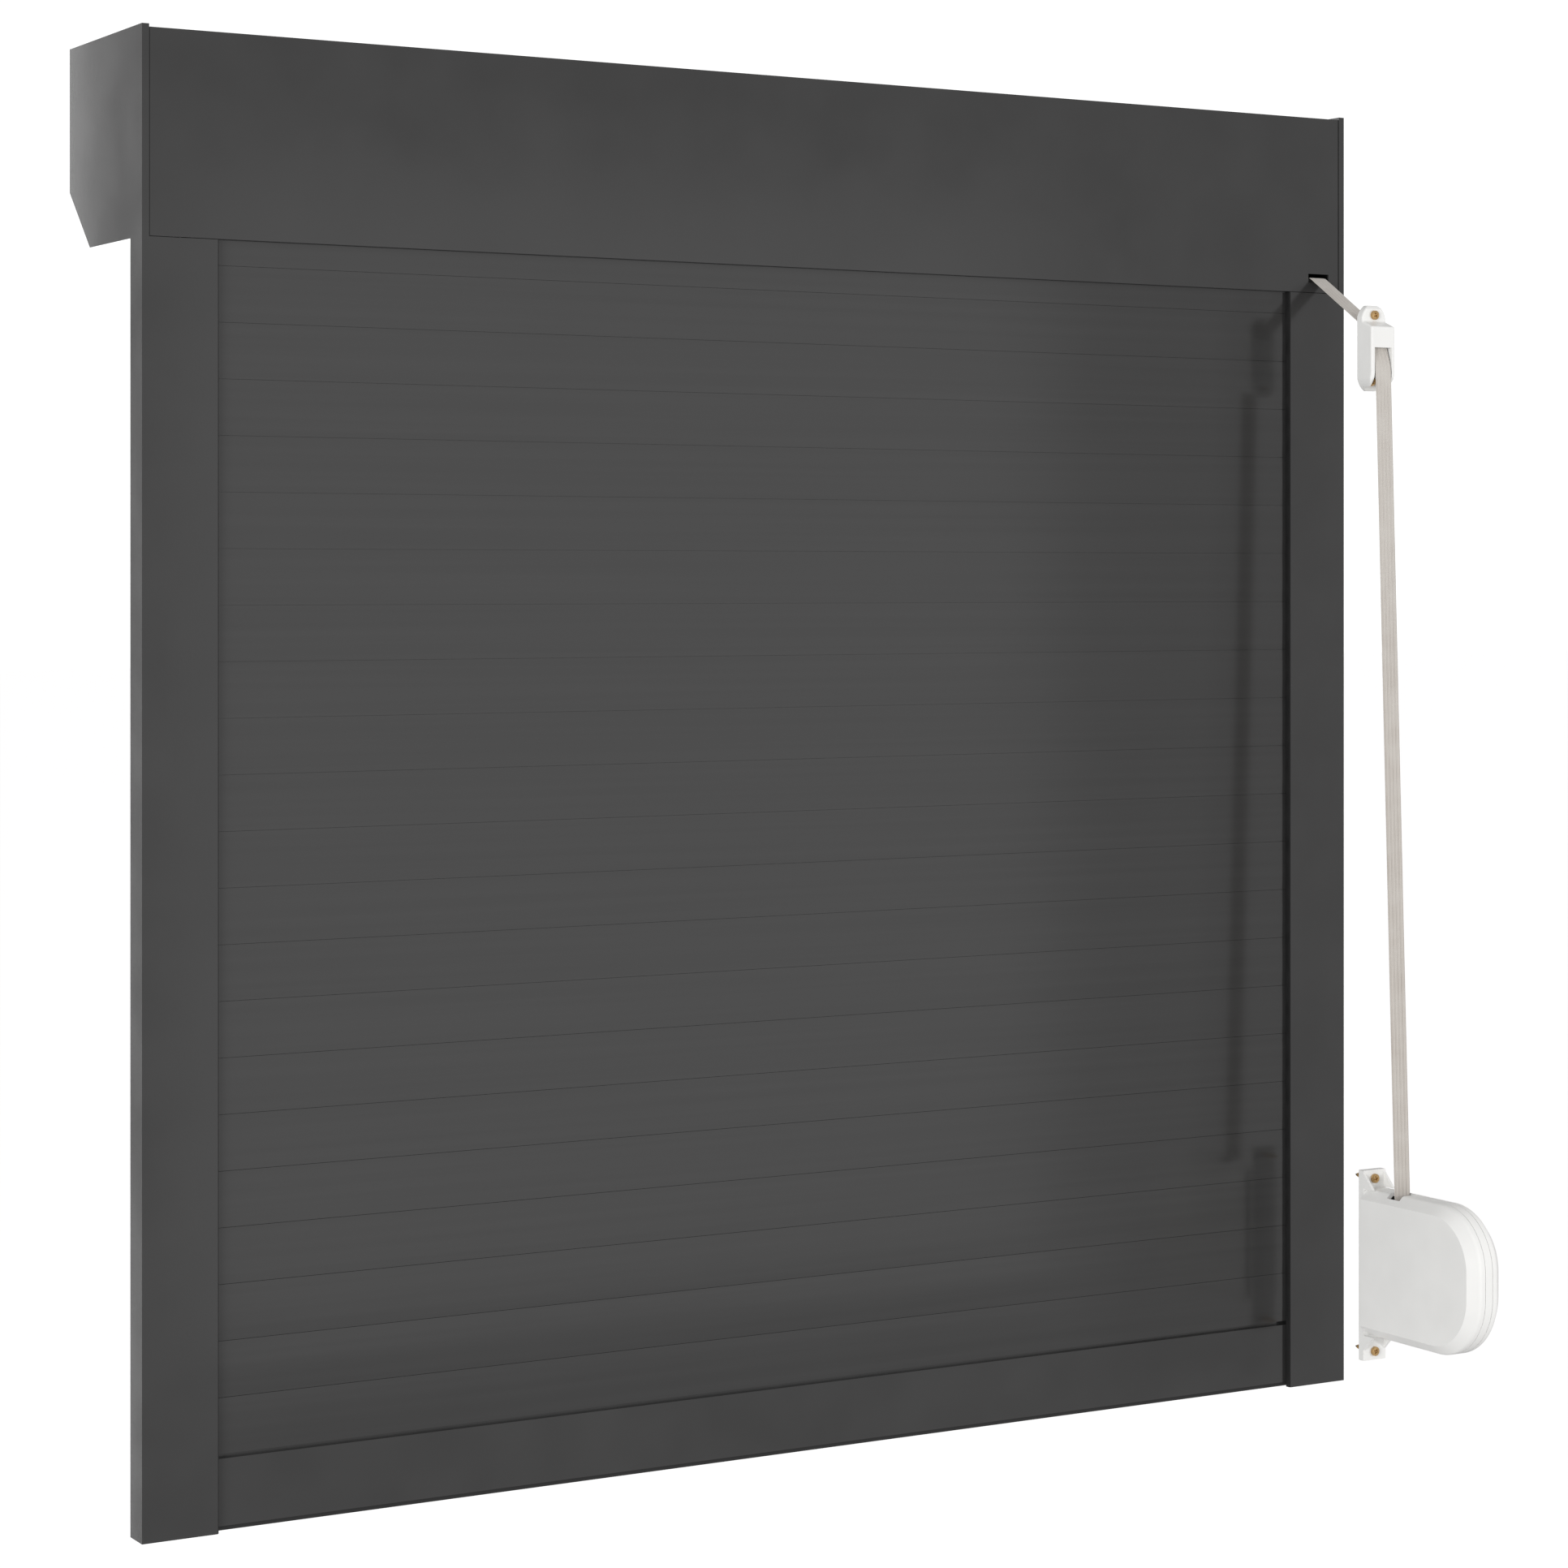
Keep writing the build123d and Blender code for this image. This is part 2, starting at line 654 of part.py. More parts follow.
def curtain_hangers():
    """Three spring-steel strips, riveted to the shaft, with clips that hold the top slat."""
    strip_low = shaft_z + shaft_across_flats / 2
    drop_y = face_recess + slat_thickness / 2
    middle_z = strip_low + hanger_thickness / 2 - hanger_bend
    middle_y = drop_y + hanger_bend
    ring = Circle(hanger_bend + hanger_thickness / 2) - Circle(hanger_bend - hanger_thickness / 2)
    corner = rectangle((-2 * hanger_bend, 0), (0, 2 * hanger_bend))
    strip = Pos(middle_y, middle_z) * (ring & corner)
    strip += rectangle((middle_y, shaft_y + hanger_tail), (strip_low, strip_low + hanger_thickness))
    clip_low = slat_foot + (slat_count - 1) * slat_pitch + slat_top_height() + running_gap
    strip += rectangle((drop_y - hanger_thickness / 2, drop_y + hanger_thickness / 2),
                       (clip_low, middle_z))
    strip += rectangle((drop_y - clip_thickness / 2, drop_y + clip_thickness / 2),
                       (clip_low, clip_low + clip_height))
    hangers = []
    for place in (-1, 0, 1):
        middle = place * hanger_spacing
        hanger = along_x(strip, middle - hanger_width / 2, middle + hanger_width / 2)
        for side in (-1, 1):
            rivet_x = middle + side * hanger_width / 4
            hanger += Pos(rivet_x, shaft_y, strip_low + hanger_thickness) * Cylinder(
                rivet_radius, hanger_thickness, align=(Align.CENTER, Align.CENTER, Align.MIN))
        hangers.append(single(hanger))
    return Compound(children=hangers)


def slat_top_height():
    """Height of a slat from its foot to the top of its hook."""
    return slat_pitch + hook_rise


def toward(start, end):
    """Unit direction from one point of a side view to another."""
    run, rise = end[0] - start[0], end[1] - start[1]
    length = hypot(run, rise)
    return run / length, rise / length


def tangent_point(start, middle, radius, side):
    """Where a straight strap from a point meets a round coil, on the side given by its sign."""
    run, rise = middle[0] - start[0], middle[1] - start[1]
    distance = hypot(run, rise)
    heading = atan2(rise, run) + side * asin(radius / distance)
    length = sqrt(distance ** 2 - radius ** 2)
    return start[0] + length * cos(heading), start[1] + length * sin(heading)


def bend_middle(before, corner, after, radius):
    """Middle of the arc that rounds a corner of a route."""
    back = toward(corner, before)
    on = toward(corner, after)
    bisector = toward((0, 0), (back[0] + on[0], back[1] + on[1]))
    half_sine = abs(bisector[0] * on[1] - bisector[1] * on[0])
    reach = radius / half_sine
    return corner[0] + reach * bisector[0], corner[1] + reach * bisector[1]


def strap_corners():
    """Corners of the strap's route: pulley, slot, guide's turn and exit, winder, reel."""
    lift = running_gap + strap_thickness / 2
    slot = (panel_setback + sheet_thickness / 2, strap_slot_z)
    turn = (-wall_gap - guide_reach, guide_turn)
    leave = (-wall_gap - guide_exit_reach, guide_exit)
    mouth = (-wall_gap - inlet_reach, case_top - case_wall)
    pulley = tangent_point(slot, (shaft_y, shaft_z), coil_radius + lift, -1)
    reel = tangent_point(mouth, reel_middle(), reel_coil_radius + lift, 1)
    return pulley, slot, turn, leave, mouth, reel


def reel_middle():
    """Side-view place of the reel's axis."""
    return -wall_gap - reel_reach, reel_height


def strap():
    """Woven strap, taut from the pulley over the guide to the winder's reel."""
    corners = strap_corners()
    bends = [guide_bend, guide_bend, guide_exit_bend, mouth_bend]
    route = FilletPolyline(*corners, radius=bends)
    ribbon = trace(route, line_width=strap_thickness)
    return single(along_x(ribbon, strap_x - strap_width / 2, strap_x + strap_width / 2))


def strap_inlet():
    """Plastic lead-in behind the slot, rounded where the strap slides over it."""
    face = panel_setback + sheet_thickness
    pulley, slot, turn = strap_corners()[:3]
    lift = running_gap + strap_thickness / 2
    middle = bend_middle(pulley, slot, turn, guide_bend)
    roll_radius = guide_bend - lift
    block = rectangle((face, face + 2 * roll_radius), (middle[1] - roll_radius, middle[1]))
    section = block + Pos(middle[0], middle[1]) * Circle(roll_radius)
    section = section & rectangle((face, box_depth), (box_bottom + panel_setback
                                                      + sheet_thickness, shutter_height))
    half = strap_width / 2 + pulley_side_gap
    return single(along_x(section, strap_x - half, strap_x + half))


def guide_screw_places():
    """Heights of the strap guide's two screws, each with the thickness it holds."""
    high = guide_low + guide_height - guide_hole_drop
    return (high - guide_hole_spacing, guide_plate), (high, guide_head)


def wall_screws(middle_x, places, reach):
    """Screws through a plate on the wall, one above the other."""
    return Compound(children=[
        Plane(origin=(middle_x, -wall_gap - held, height), z_dir=(0, 1, 0))
        * screw(held, held + reach) for height, held in places])


def wall_screw_holes(middle_x, places):
    """Holes for those screws, with room for their heads."""
    holes = []
    for height, held in places:
        seat = -wall_gap - held
        for radius, start, end in (
                (screw_radius + fit_clearance, seat - fit_clearance, -wall_gap + cut_overrun),
                (screw_head_radius + counterbore, seat - box_depth, seat)):
            bar = Plane(origin=(middle_x, start, height), z_dir=(0, 1, 0)) * Circle(radius)
            holes.append(extrude(bar, amount=end - start))
    return holes


def guide_outline():
    """Front view of the guide: straight sides between ends that close in."""
    half, end_half = guide_width / 2, guide_end_width / 2
    low, high = guide_low, guide_low + guide_height
    turn = 1 - 1 / sqrt(2)
    side_in = half - turn * (half - end_half)
    return make_face([
        Line((-half, low + guide_round), (-half, high - guide_round)),
        ThreePointArc((-half, high - guide_round), (-side_in, high - turn * guide_round),
                      (-end_half, high)),
        Line((-end_half, high), (end_half, high)),
        ThreePointArc((end_half, high), (side_in, high - turn * guide_round),
                      (half, high - guide_round)),
        Line((half, high - guide_round), (half, low + guide_round)),
        ThreePointArc((half, low + guide_round), (side_in, low + turn * guide_round),
                      (end_half, low)),
        Line((end_half, low), (-end_half, low)),
        ThreePointArc((-end_half, low), (-side_in, low + turn * guide_round),
                      (-half, low + guide_round)),
    ])


def guide_profile():
    """Side view of the guide: flat head, full depth at the bridge, thin round tail."""
    wall, high = -wall_gap, guide_low + guide_height
    front = wall - bridge_reach
    crown, head = wall - guide_crown, wall - guide_head
    tail = wall - guide_tail_end
    full = guide_low + cheek_start
    bow = 1 / sqrt(2)
    return make_face([
        Line((wall, high), (crown, high)),
        Line((crown, high), (head, high - guide_crown + guide_plate / 2)),
        Line((head, high - guide_crown + guide_plate / 2), (head, high - guide_shoulder)),
        Line((head, high - guide_shoulder), (front, bridge_high)),
        Line((front, bridge_high), (front, full)),
        ThreePointArc((front, full),
                      (tail + bow * (front - tail), full + bow * (guide_low - full)),
                      (tail, guide_low)),
        Line((tail, guide_low), (wall, guide_low)),
        Line((wall, guide_low), (wall, high)),
    ])


def strap_guide():
    """Moulded guide: hollow shell with cheeks, bridge, round saddle and a cross rib below."""
    wall = -wall_gap
    plate_face = wall - guide_plate
    behind_bridge = wall - bridge_reach + bridge_thickness
    half = guide_width / 2
    front_view = extrude(Plane(origin=(strap_x, wall, 0), x_dir=(1, 0, 0), z_dir=(0, -1, 0))
                         * guide_outline(), amount=2 * bridge_reach)
    guide = front_view & along_x(guide_profile(), strap_x - half, strap_x + half)
    guide = fillet([edge for edge in guide.edges() if edge.center().Y < wall - guide_crown / 2],
                   guide_edge)
    throat = strap_width / 2 + guide_side_gap
    roof = guide_low + guide_height - lane_roof_drop
    lane = polygon((wall + cut_overrun, roof), (wall, roof),
                   (behind_bridge, roof - lane_roof_slope), (behind_bridge, bridge_low),
                   (plate_face, bridge_low), (plate_face, guide_turn + guide_bend / 4),
                   (wall + cut_overrun, guide_turn + guide_bend / 4))
    lane += rectangle((wall - 2 * bridge_reach, plate_face),
                      (guide_low - cut_overrun, bridge_low))
    guide -= along_x(lane, strap_x - throat, strap_x + throat)
    corners = strap_corners()
    lift = strap_thickness / 2 + running_gap
    middle = bend_middle(corners[1], corners[2], corners[3], guide_bend)
    saddle_radius = guide_bend - lift
    saddle = Pos(middle[0], middle[1]) * Circle(saddle_radius)
    saddle += rectangle((middle[0], plate_face),
                        (middle[1] - saddle_radius, middle[1] + saddle_radius / 2))
    rib_front = wall - guide_exit_reach + lift + running_gap
    rib = rectangle((rib_front + rib_height / 2, plate_face),
                    (guide_exit - rib_height / 2, guide_exit + rib_height / 2))
    rib += Pos(rib_front + rib_height / 2, guide_exit) * Circle(rib_height / 2)
    inside = saddle + rib
    inside = inside & rectangle((wall - 2 * bridge_reach, wall), (guide_low, bridge_high))
    guide += along_x(inside, strap_x - throat - fit_clearance, strap_x + throat + fit_clearance)
    for hole in wall_screw_holes(strap_x, guide_screw_places()):
        guide -= hole
    return single(guide)


def winder_screw_places():
    """Heights of the winder's two screws, each with the thickness it holds."""
    middle = winder_low + winder_height / 2
    half = winder_hole_spacing / 2
    return (middle - half, winder_plate), (middle + half, winder_plate)


def case_outline(inset=0):
    """Side view of the winder's case: round at the front, flat on top and below."""
    back = -wall_gap - winder_plate
    front = -wall_gap - case_depth
    top_start = front + case_top_radius
    low_end = front + case_low_radius
    turn = 1 - 1 / sqrt(2)
    outline = make_face([
        Line((back, case_top), (top_start, case_top)),
        ThreePointArc((top_start, case_top),
                      (front + turn * case_top_radius, case_top - turn * case_top_radius),
                      (front, case_top - case_top_radius)),
        Line((front, case_top - case_top_radius), (front, case_low + case_low_radius)),
        ThreePointArc((front, case_low + case_low_radius),
                      (front + turn * case_low_radius, case_low + turn * case_low_radius),
                      (low_end, case_low)),
        Line((low_end, case_low), (back, case_low)),
        Line((back, case_low), (back, case_top)),
    ])
    return offset(outline, amount=-inset, kind=Kind.INTERSECTION) if inset else outline


def winder_base():
    """Mounting plate with its two lugs and the middle band of the case, open at the strap."""
    wall = -wall_gap
    back = wall - winder_plate
    half = winder_plate_width / 2
    plate = slab((plate_x - half, plate_x + half), (back, wall),
                 (winder_low, winder_low + winder_height))
    plate = fillet(plate.edges().filter_by(Axis.Y), plate_corner)
    band = along_x(case_outline() - case_outline(case_wall),
                   winder_x - case_band / 2, winder_x + case_band / 2)
    base = plate + band
    for edge, up in ((case_top + fit_clearance, 1), (case_low - fit_clearance, -1)):
        rib = polygon((back, edge), (back, edge + up * gusset), (back - gusset, edge))
        for start in (plate_x - half, plate_x + half - gusset_wall):
            base += along_x(rib, start, start + gusset_wall)
    strap_gate = rectangle((wall - inlet_reach - inlet_opening / 2,
                            wall - inlet_reach + inlet_opening / 2),
                           (case_top - case_wall - cut_overrun, case_top + cut_overrun))
    base -= along_x(strap_gate, strap_x - half, strap_x + half)
    for hole in wall_screw_holes(plate_x, winder_screw_places()):
        base -= hole
    return single(base)


def bevelled_case(side, inner, outer, inset):
    """The case's outline drawn out from its middle to one side, with a slope round that side."""
    block = along_x(case_outline(inset), *sorted((inner, outer)))
    rim = block.faces().sort_by(Axis.X)[-1 if side > 0 else 0].edges()
    back = -wall_gap - winder_plate - inset
    return chamfer([edge for edge in rim if edge.center().Y < back - fit_clearance],
                   case_edge_bevel)


def winder_cover(side):
    """Moulded side cover with a rounded rim, a strap gate and a seat for the axle."""
    inner = winder_x + side * (case_band / 2 + case_parting)
    outer = winder_x + side * case_width / 2
    shell = bevelled_case(side, inner, outer, 0)
    ridge_x = outer - side * case_edge_bevel
    ridge = [edge for edge in shell.edges()
             if abs(edge.center().X - ridge_x) < fit_clearance
             and edge.center().Y < -wall_gap - winder_plate - fit_clearance]
    shell = fillet(ridge, case_edge_radius)
    side_wall = outer - side * case_wall
    shell -= bevelled_case(side, inner, side_wall, case_wall)
    boss_start = strap_x + side * (strap_width / 2 + reel_side_gap + reel_flange + running_gap)
    middle_y, middle_z = reel_middle()
    boss = disc_x(axle_radius + reel_wall, *sorted((boss_start, side_wall)), middle_y, middle_z)
    seat = disc_x(axle_radius + pin_clearance, *sorted((boss_start, side_wall + side * axle_seat)),
                  middle_y, middle_z)
    gate_y = -wall_gap - inlet_reach
    gate_end = strap_x + side * (strap_width / 2 + pulley_side_gap)
    gate = slab(sorted((inner - side * cut_overrun, gate_end)),
                (gate_y - inlet_opening / 2, gate_y + inlet_opening / 2),
                (case_top - case_wall - cut_overrun, case_top + cut_overrun))
    return single(shell + boss - seat - gate)


def winder_axle():
    """Pin between the two covers."""
    reach = case_width / 2 - case_wall + axle_seat - fit_clearance
    middle_y, middle_z = reel_middle()
    return single(disc_x(axle_radius, winder_x - reach, winder_x + reach, middle_y, middle_z))


def winder_reel():
    """Flanged reel: hub with a web, and round holes through its flanges."""
    middle_y, middle_z = reel_middle()
    inner_reach = strap_width / 2 + reel_side_gap
    outer_reach = inner_reach + reel_flange
    reel = disc_x(reel_hub_radius, strap_x - outer_reach, strap_x + outer_reach, middle_y, middle_z)
    for low in (-outer_reach, inner_reach):
        reel += disc_x(reel_radius, strap_x + low, strap_x + low + reel_flange, middle_y, middle_z)
    reel -= disc_x(reel_hub_radius - reel_wall, strap_x - outer_reach - cut_overrun,
                   strap_x + inner_reach, middle_y, middle_z)
    reel -= disc_x(axle_radius + pin_clearance, strap_x - outer_reach, strap_x + outer_reach
                   + cut_overrun, middle_y, middle_z)
    ring = (reel_coil_radius + reel_radius) / 2
    hole = (reel_radius - reel_coil_radius) / 4
    for index in range(pulley_holes):
        turn = 2 * pi * index / pulley_holes
        reel -= disc_x(hole, strap_x - outer_reach - cut_overrun,
                       strap_x + outer_reach + cut_overrun,
                       middle_y + ring * cos(turn), middle_z + ring * sin(turn))
    return single(reel)


def reel_coil():
    """The first turns of strap on the reel while the curtain is down."""
    middle_y, middle_z = reel_middle()
    low, high = strap_x - strap_width / 2, strap_x + strap_width / 2
    return single(disc_x(reel_coil_radius, low, high, middle_y, middle_z)
                  - disc_x(reel_hub_radius, low, high, middle_y, middle_z))


def winder_spring():
    """Coiled strip spring inside the reel's hub, drawn as the ring that it fills."""
    middle_y, middle_z = reel_middle()
    half = strap_width / 2
    return single(disc_x(spring_radius, strap_x - half, strap_x + half, middle_y, middle_z)
                  - disc_x(spring_radius / 2, strap_x - half, strap_x + half, middle_y, middle_z))


os.makedirs("parts", exist_ok=True)

save(room_panel(), "box_room_panel")
save(outer_panel(), "box_outer_panel")
save(service_cover(), "box_service_cover")
save(cover_screws(), "cover_screws")
sides = {
    "end_plate": end_plate_right(),
    "guide_rail": guide_rail_right(),
    "rail_seals": rail_seals_right(),
    "rail_inlet": rail_inlet_right(),
    "shaft_bearing": bearing_right(),
}
for name, shape in sides.items():
    save(shape, f"{name}_right")
    save(mirrored(shape), f"{name}_left")
save(bottom_bar(), "bottom_bar")
save(bottom_seal(), "bottom_seal")
save(bar_stoppers(), "bar_stoppers")
for index in range(slat_count):
    save(slat(index), f"slat_{index + 1:02d}")
save(shaft_tube(), "shaft_tube")
save(strap_pulley(), "strap_pulley")
save(end_plug(), "shaft_end_plug")
save(strap_coil(), "strap_coil")
save(curtain_hangers(), "curtain_hangers")
save(strap(), "strap")
save(strap_inlet(), "strap_inlet")
save(strap_guide(), "strap_guide")
save(wall_screws(strap_x, guide_screw_places(), guide_screw_reach), "strap_guide_screws")
save(winder_base(), "winder_base")
save(winder_cover(1), "winder_cover_right")
save(winder_cover(-1), "winder_cover_left")
save(winder_axle(), "winder_axle")
save(winder_reel(), "winder_reel")
save(reel_coil(), "reel_coil")
save(winder_spring(), "winder_spring")
save(wall_screws(plate_x, winder_screw_places(), winder_screw_reach), "winder_screws")
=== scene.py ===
from math import atan2, ceil, cos, hypot, pi, radians, sin, sqrt, tau

import bpy
from mathutils import Matrix, Vector


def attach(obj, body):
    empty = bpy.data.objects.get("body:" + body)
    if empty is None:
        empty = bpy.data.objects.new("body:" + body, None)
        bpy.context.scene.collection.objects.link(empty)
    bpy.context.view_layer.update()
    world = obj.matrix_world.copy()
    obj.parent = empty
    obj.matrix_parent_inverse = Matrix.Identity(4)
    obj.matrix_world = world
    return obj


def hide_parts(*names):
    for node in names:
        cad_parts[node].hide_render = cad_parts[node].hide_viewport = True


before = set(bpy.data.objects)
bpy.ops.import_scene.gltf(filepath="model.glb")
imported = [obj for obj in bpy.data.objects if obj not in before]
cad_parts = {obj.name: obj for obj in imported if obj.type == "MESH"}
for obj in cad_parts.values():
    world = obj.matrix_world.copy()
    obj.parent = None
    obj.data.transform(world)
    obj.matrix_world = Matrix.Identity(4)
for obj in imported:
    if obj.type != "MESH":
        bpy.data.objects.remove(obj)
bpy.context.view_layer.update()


# The viewpoint. The photo was taken level with the lower part of the box, turned 30 degrees to
# the left of the face, with a long lens whose frame was shifted down.
camera_data = bpy.data.cameras.new("camera")
camera_data.sensor_width = 36
camera_data.lens = 85.12
camera_data.shift_y = -0.1297
camera_data.clip_start = 0.05
camera = bpy.data.objects.new("camera", camera_data)
camera.location = (-1.3559, -2.3193, 0.6334)
camera.rotation_euler = (radians(90), 0, radians(-30.08))
bpy.context.scene.collection.objects.link(camera)
bpy.context.scene.camera = camera
bpy.context.scene.view_settings.view_transform = "Standard"


# The studio. A white surround and a white floor far below, a large softbox in front whose
# reflection makes the paler field on the face, one behind whose edge grades the end plate, and
# lamps from both sides and behind for the guide, the winder and the weather side.
def colour(code):
    """The linear colour of an sRGB hex code."""
    toe, slope, lift, power = 0.04045, 12.92, 0.055, 2.4
    shares = [int(code[start:start + 2], 16) / 255 for start in (0, 2, 4)]
    return [s / slope if s <= toe else ((s + lift) / (1 + lift)) ** power for s in shares] + [1]


def add(tree, kind, inputs=None, **settings):
    """Adds a node. inputs gives its sockets a value, or links them to another node's output."""
    node = tree.nodes.new("ShaderNode" + kind)
    for name, value in settings.items():
        setattr(node, name, value)
    for name, value in (inputs or {}).items():
        if isinstance(value, bpy.types.NodeSocket):
            tree.links.new(value, node.inputs[name])
        else:
            node.inputs[name].default_value = value
    return node


def studio_world(seen, front, behind):
    """A white surround: one strength where the camera looks at it, others as light."""
    world = bpy.data.worlds.new("white_surround")
    bpy.context.scene.world = world
    world.use_nodes = True
    tree = world.node_tree
    tree.nodes.clear()
    path = add(tree, "LightPath")
    direction = add(tree, "SeparateXYZ", {0: add(tree, "TexCoord").outputs["Generated"]})
    strength = add(tree, "MapRange", {"Value": direction.outputs["Y"], "From Min": 0.0,
                                      "From Max": 0.7, "To Min": front, "To Max": behind})
    light = add(tree, "Background", {"Color": colour("fbfafa"), "Strength": strength.outputs[0]})
    backdrop = add(tree, "Background", {"Color": colour("ffffff"), "Strength": seen})
    mix = add(tree, "MixShader", {0: path.outputs["Is Camera Ray"], 1: light.outputs[0],
                                  2: backdrop.outputs[0]})
    add(tree, "OutputWorld", {"Surface": mix.outputs[0]})


def lamp(name, place, target, size, power, in_reflections, tilt=0):
    """A rectangular studio lamp that faces a point, turned in its own plane by a tilt."""
    data = bpy.data.lights.new(name, "AREA")
    data.shape = "RECTANGLE"
    data.size, data.size_y = size
    data.energy = power
    light = bpy.data.objects.new(name, data)
    light.location = place
    facing = (Vector(target) - Vector(place)).to_track_quat("-Z", "Y").to_matrix()
    light.rotation_euler = (facing @ Matrix.Rotation(tilt, 3, "Z")).to_euler()
    light.visible_glossy = in_reflections
    light.visible_camera = False
    bpy.context.scene.collection.objects.link(light)


def studio_floor(height, reach, glow):
    """A pale floor that is lit evenly enough to read as white."""
    mesh = bpy.data.meshes.new("floor")
    mesh.from_pydata([(x, y, height) for x, y in ((-reach, -reach), (reach, -reach),
                                                  (reach, reach), (-reach, reach))],
                     [], [(0, 1, 2, 3)])
    material = bpy.data.materials.new("white_floor")
    material.use_nodes = True
    surface = material.node_tree.nodes["Principled BSDF"]
    surface.inputs["Base Color"].default_value = colour("f4f4f4")
    surface.inputs["Roughness"].default_value = 0.9
    surface.inputs["Emission Color"].default_value = colour("ffffff")
    surface.inputs["Emission Strength"].default_value = glow
    mesh.materials.append(material)
    plane = bpy.data.objects.new("floor", mesh)
    bpy.context.scene.collection.objects.link(plane)
    plane.visible_diffuse = False
    plane.visible_glossy = False


studio_world(seen=1.1, front=0.75, behind=0.42)
studio_floor(height=-0.9, reach=60, glow=0.44)
lamp("softbox", (0.929, -2.0, 0.411), (0.929, 0, 0.411), (1.317, 1.503), 2.7, True)
lamp("back_softbox", (-0.247, 1.2, 0.45), (-0.247, 0, 0.45), (1.264, 1.6), 11.9, True,
     tilt=radians(1.2))
lamp("key", (2.29, -2.0, 0.5), (0.4, 0, 0.5), (0.4, 0.4), 18, False)
lamp("rear", (2.0, 1.6, 0.5), (0.5, -0.1, 0.5), (1, 1), 17, False)
lamp("fill", (-3.0, -1.8, 0.8), (0.4, -0.1, 0.5), (1.5, 1.5), 79, False)


# Box, end plates, rails and bottom bar. Aluminium: bent sheet for the box, die-cast end plates,
# extruded rails and bar, all powder-coated in a fine matt anthracite after forming.
def node_material(name):
    """A new material with its tree, its surface and the position in the shutter's frame."""
    material = bpy.data.materials.new(name)
    material.use_nodes = True
    tree = material.node_tree
    surface = tree.nodes["Principled BSDF"]
    place = add(tree, "TexCoord").outputs["Object"]
    return material, tree, surface, place


def noise(tree, place, size, detail=2, stretch=(1, 1, 1)):
    """Cloudy noise whose blotches are size metres across, longer along a stretched axis."""
    scaled = add(tree, "Mapping", {"Vector": place, "Scale": [1 / (size * s) for s in stretch]})
    texture = add(tree, "TexNoise", {"Vector": scaled.outputs[0], "Scale": 1.0,
                                     "Detail": detail})
    return texture.outputs[0]


def ramp(tree, factor, low, high, start=0.3, end=0.7):
    """A value that runs from low to high as the factor goes from start to end."""
    node = add(tree, "MapRange", {"Value": factor, "From Min": start, "From Max": end,
                                  "To Min": low, "To Max": high})
    return node.outputs[0]


def tint(tree, factor, dark, light):
    """A colour between two hex codes."""
    node = add(tree, "MixRGB", {"Fac": factor, "Color1": colour(dark), "Color2": colour(light)})
    return node.outputs[0]


def bump(tree, height, depth, below=None):
    """A surface normal from a height pattern that is depth metres deep."""
    inputs = {"Height": height, "Distance": depth, "Strength": 1.0}
    if below is not None:
        inputs["Normal"] = below
    return add(tree, "Bump", inputs).outputs[0]


def powder_coat(name, dark, light, roughness):
    """Baked powder: a soft orange peel with fine grains, slightly uneven in gloss."""
    material, tree, surface, place = node_material(name)
    cloud = noise(tree, place, 0.06)
    peel = noise(tree, place, 0.0022, detail=1)
    grain = noise(tree, place, 0.0005)
    uneven = ramp(tree, cloud, roughness - 0.02, roughness + 0.02)
    tree.links.new(tint(tree, ramp(tree, cloud, 0, 1), dark, light), surface.inputs["Base Color"])
    tree.links.new(uneven, surface.inputs["Roughness"])
    peel_normal = bump(tree, peel, 0.000012)
    tree.links.new(bump(tree, grain, 0.000004, peel_normal), surface.inputs["Normal"])
    return material


def dress(material, *nodes):
    """Gives CAD nodes a material."""
    for node in nodes:
        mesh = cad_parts[node].data
        mesh.materials.clear()
        mesh.materials.append(material)


coat = powder_coat("powder_coated_aluminium", "2b2b2b", "2f2f2f", 0.14)
dress(coat, "box_room_panel", "box_outer_panel", "box_service_cover", "end_plate_left",
      "end_plate_right", "guide_rail_left", "guide_rail_right", "bottom_bar")


# The curtain. Slats are roll-formed from thin aluminium strip that was painted as a coil, so
# the paint is smoother than powder and carries faint streaks along the slat.
def coil_coat():
    """Stove enamel on strip: smooth, with long streaks from the forming rollers."""
    material, tree, surface, place = node_material("coil_coated_aluminium")
    streak = noise(tree, place, 0.006, stretch=(90, 1, 1))
    cloud = noise(tree, place, 0.08)
    grain = noise(tree, place, 0.0006)
    shade = tint(tree, ramp(tree, streak, 0, 1), "2b2b2b", "2e2e2e")
    tree.links.new(shade, surface.inputs["Base Color"])
    tree.links.new(ramp(tree, cloud, 0.11, 0.14), surface.inputs["Roughness"])
    streak_normal = bump(tree, streak, 0.00001)
    tree.links.new(bump(tree, grain, 0.000003, streak_normal), surface.inputs["Normal"])
    return material


dress(coil_coat(), *(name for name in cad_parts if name.startswith("slat_")))


# Seals along the rail mouths and under the bar. Extruded black EPDM rubber, pushed into
# channels; matt, with a pale bloom in blotches.
def rubber():
    """Extruded rubber: matt black, drawn lengthwise, with a trace of bloom."""
    material, tree, surface, place = node_material("black_epdm_rubber")
    cloud = noise(tree, place, 0.012, detail=3)
    grain = noise(tree, place, 0.0004)
    shade = tint(tree, ramp(tree, cloud, 0, 1), "161616", "1e1e1e")
    tree.links.new(shade, surface.inputs["Base Color"])
    tree.links.new(ramp(tree, cloud, 0.62, 0.78), surface.inputs["Roughness"])
    tree.links.new(bump(tree, grain, 0.00001), surface.inputs["Normal"])
    return material


dress(rubber(), "rail_seals_left", "rail_seals_right", "bottom_seal", "bar_stoppers")


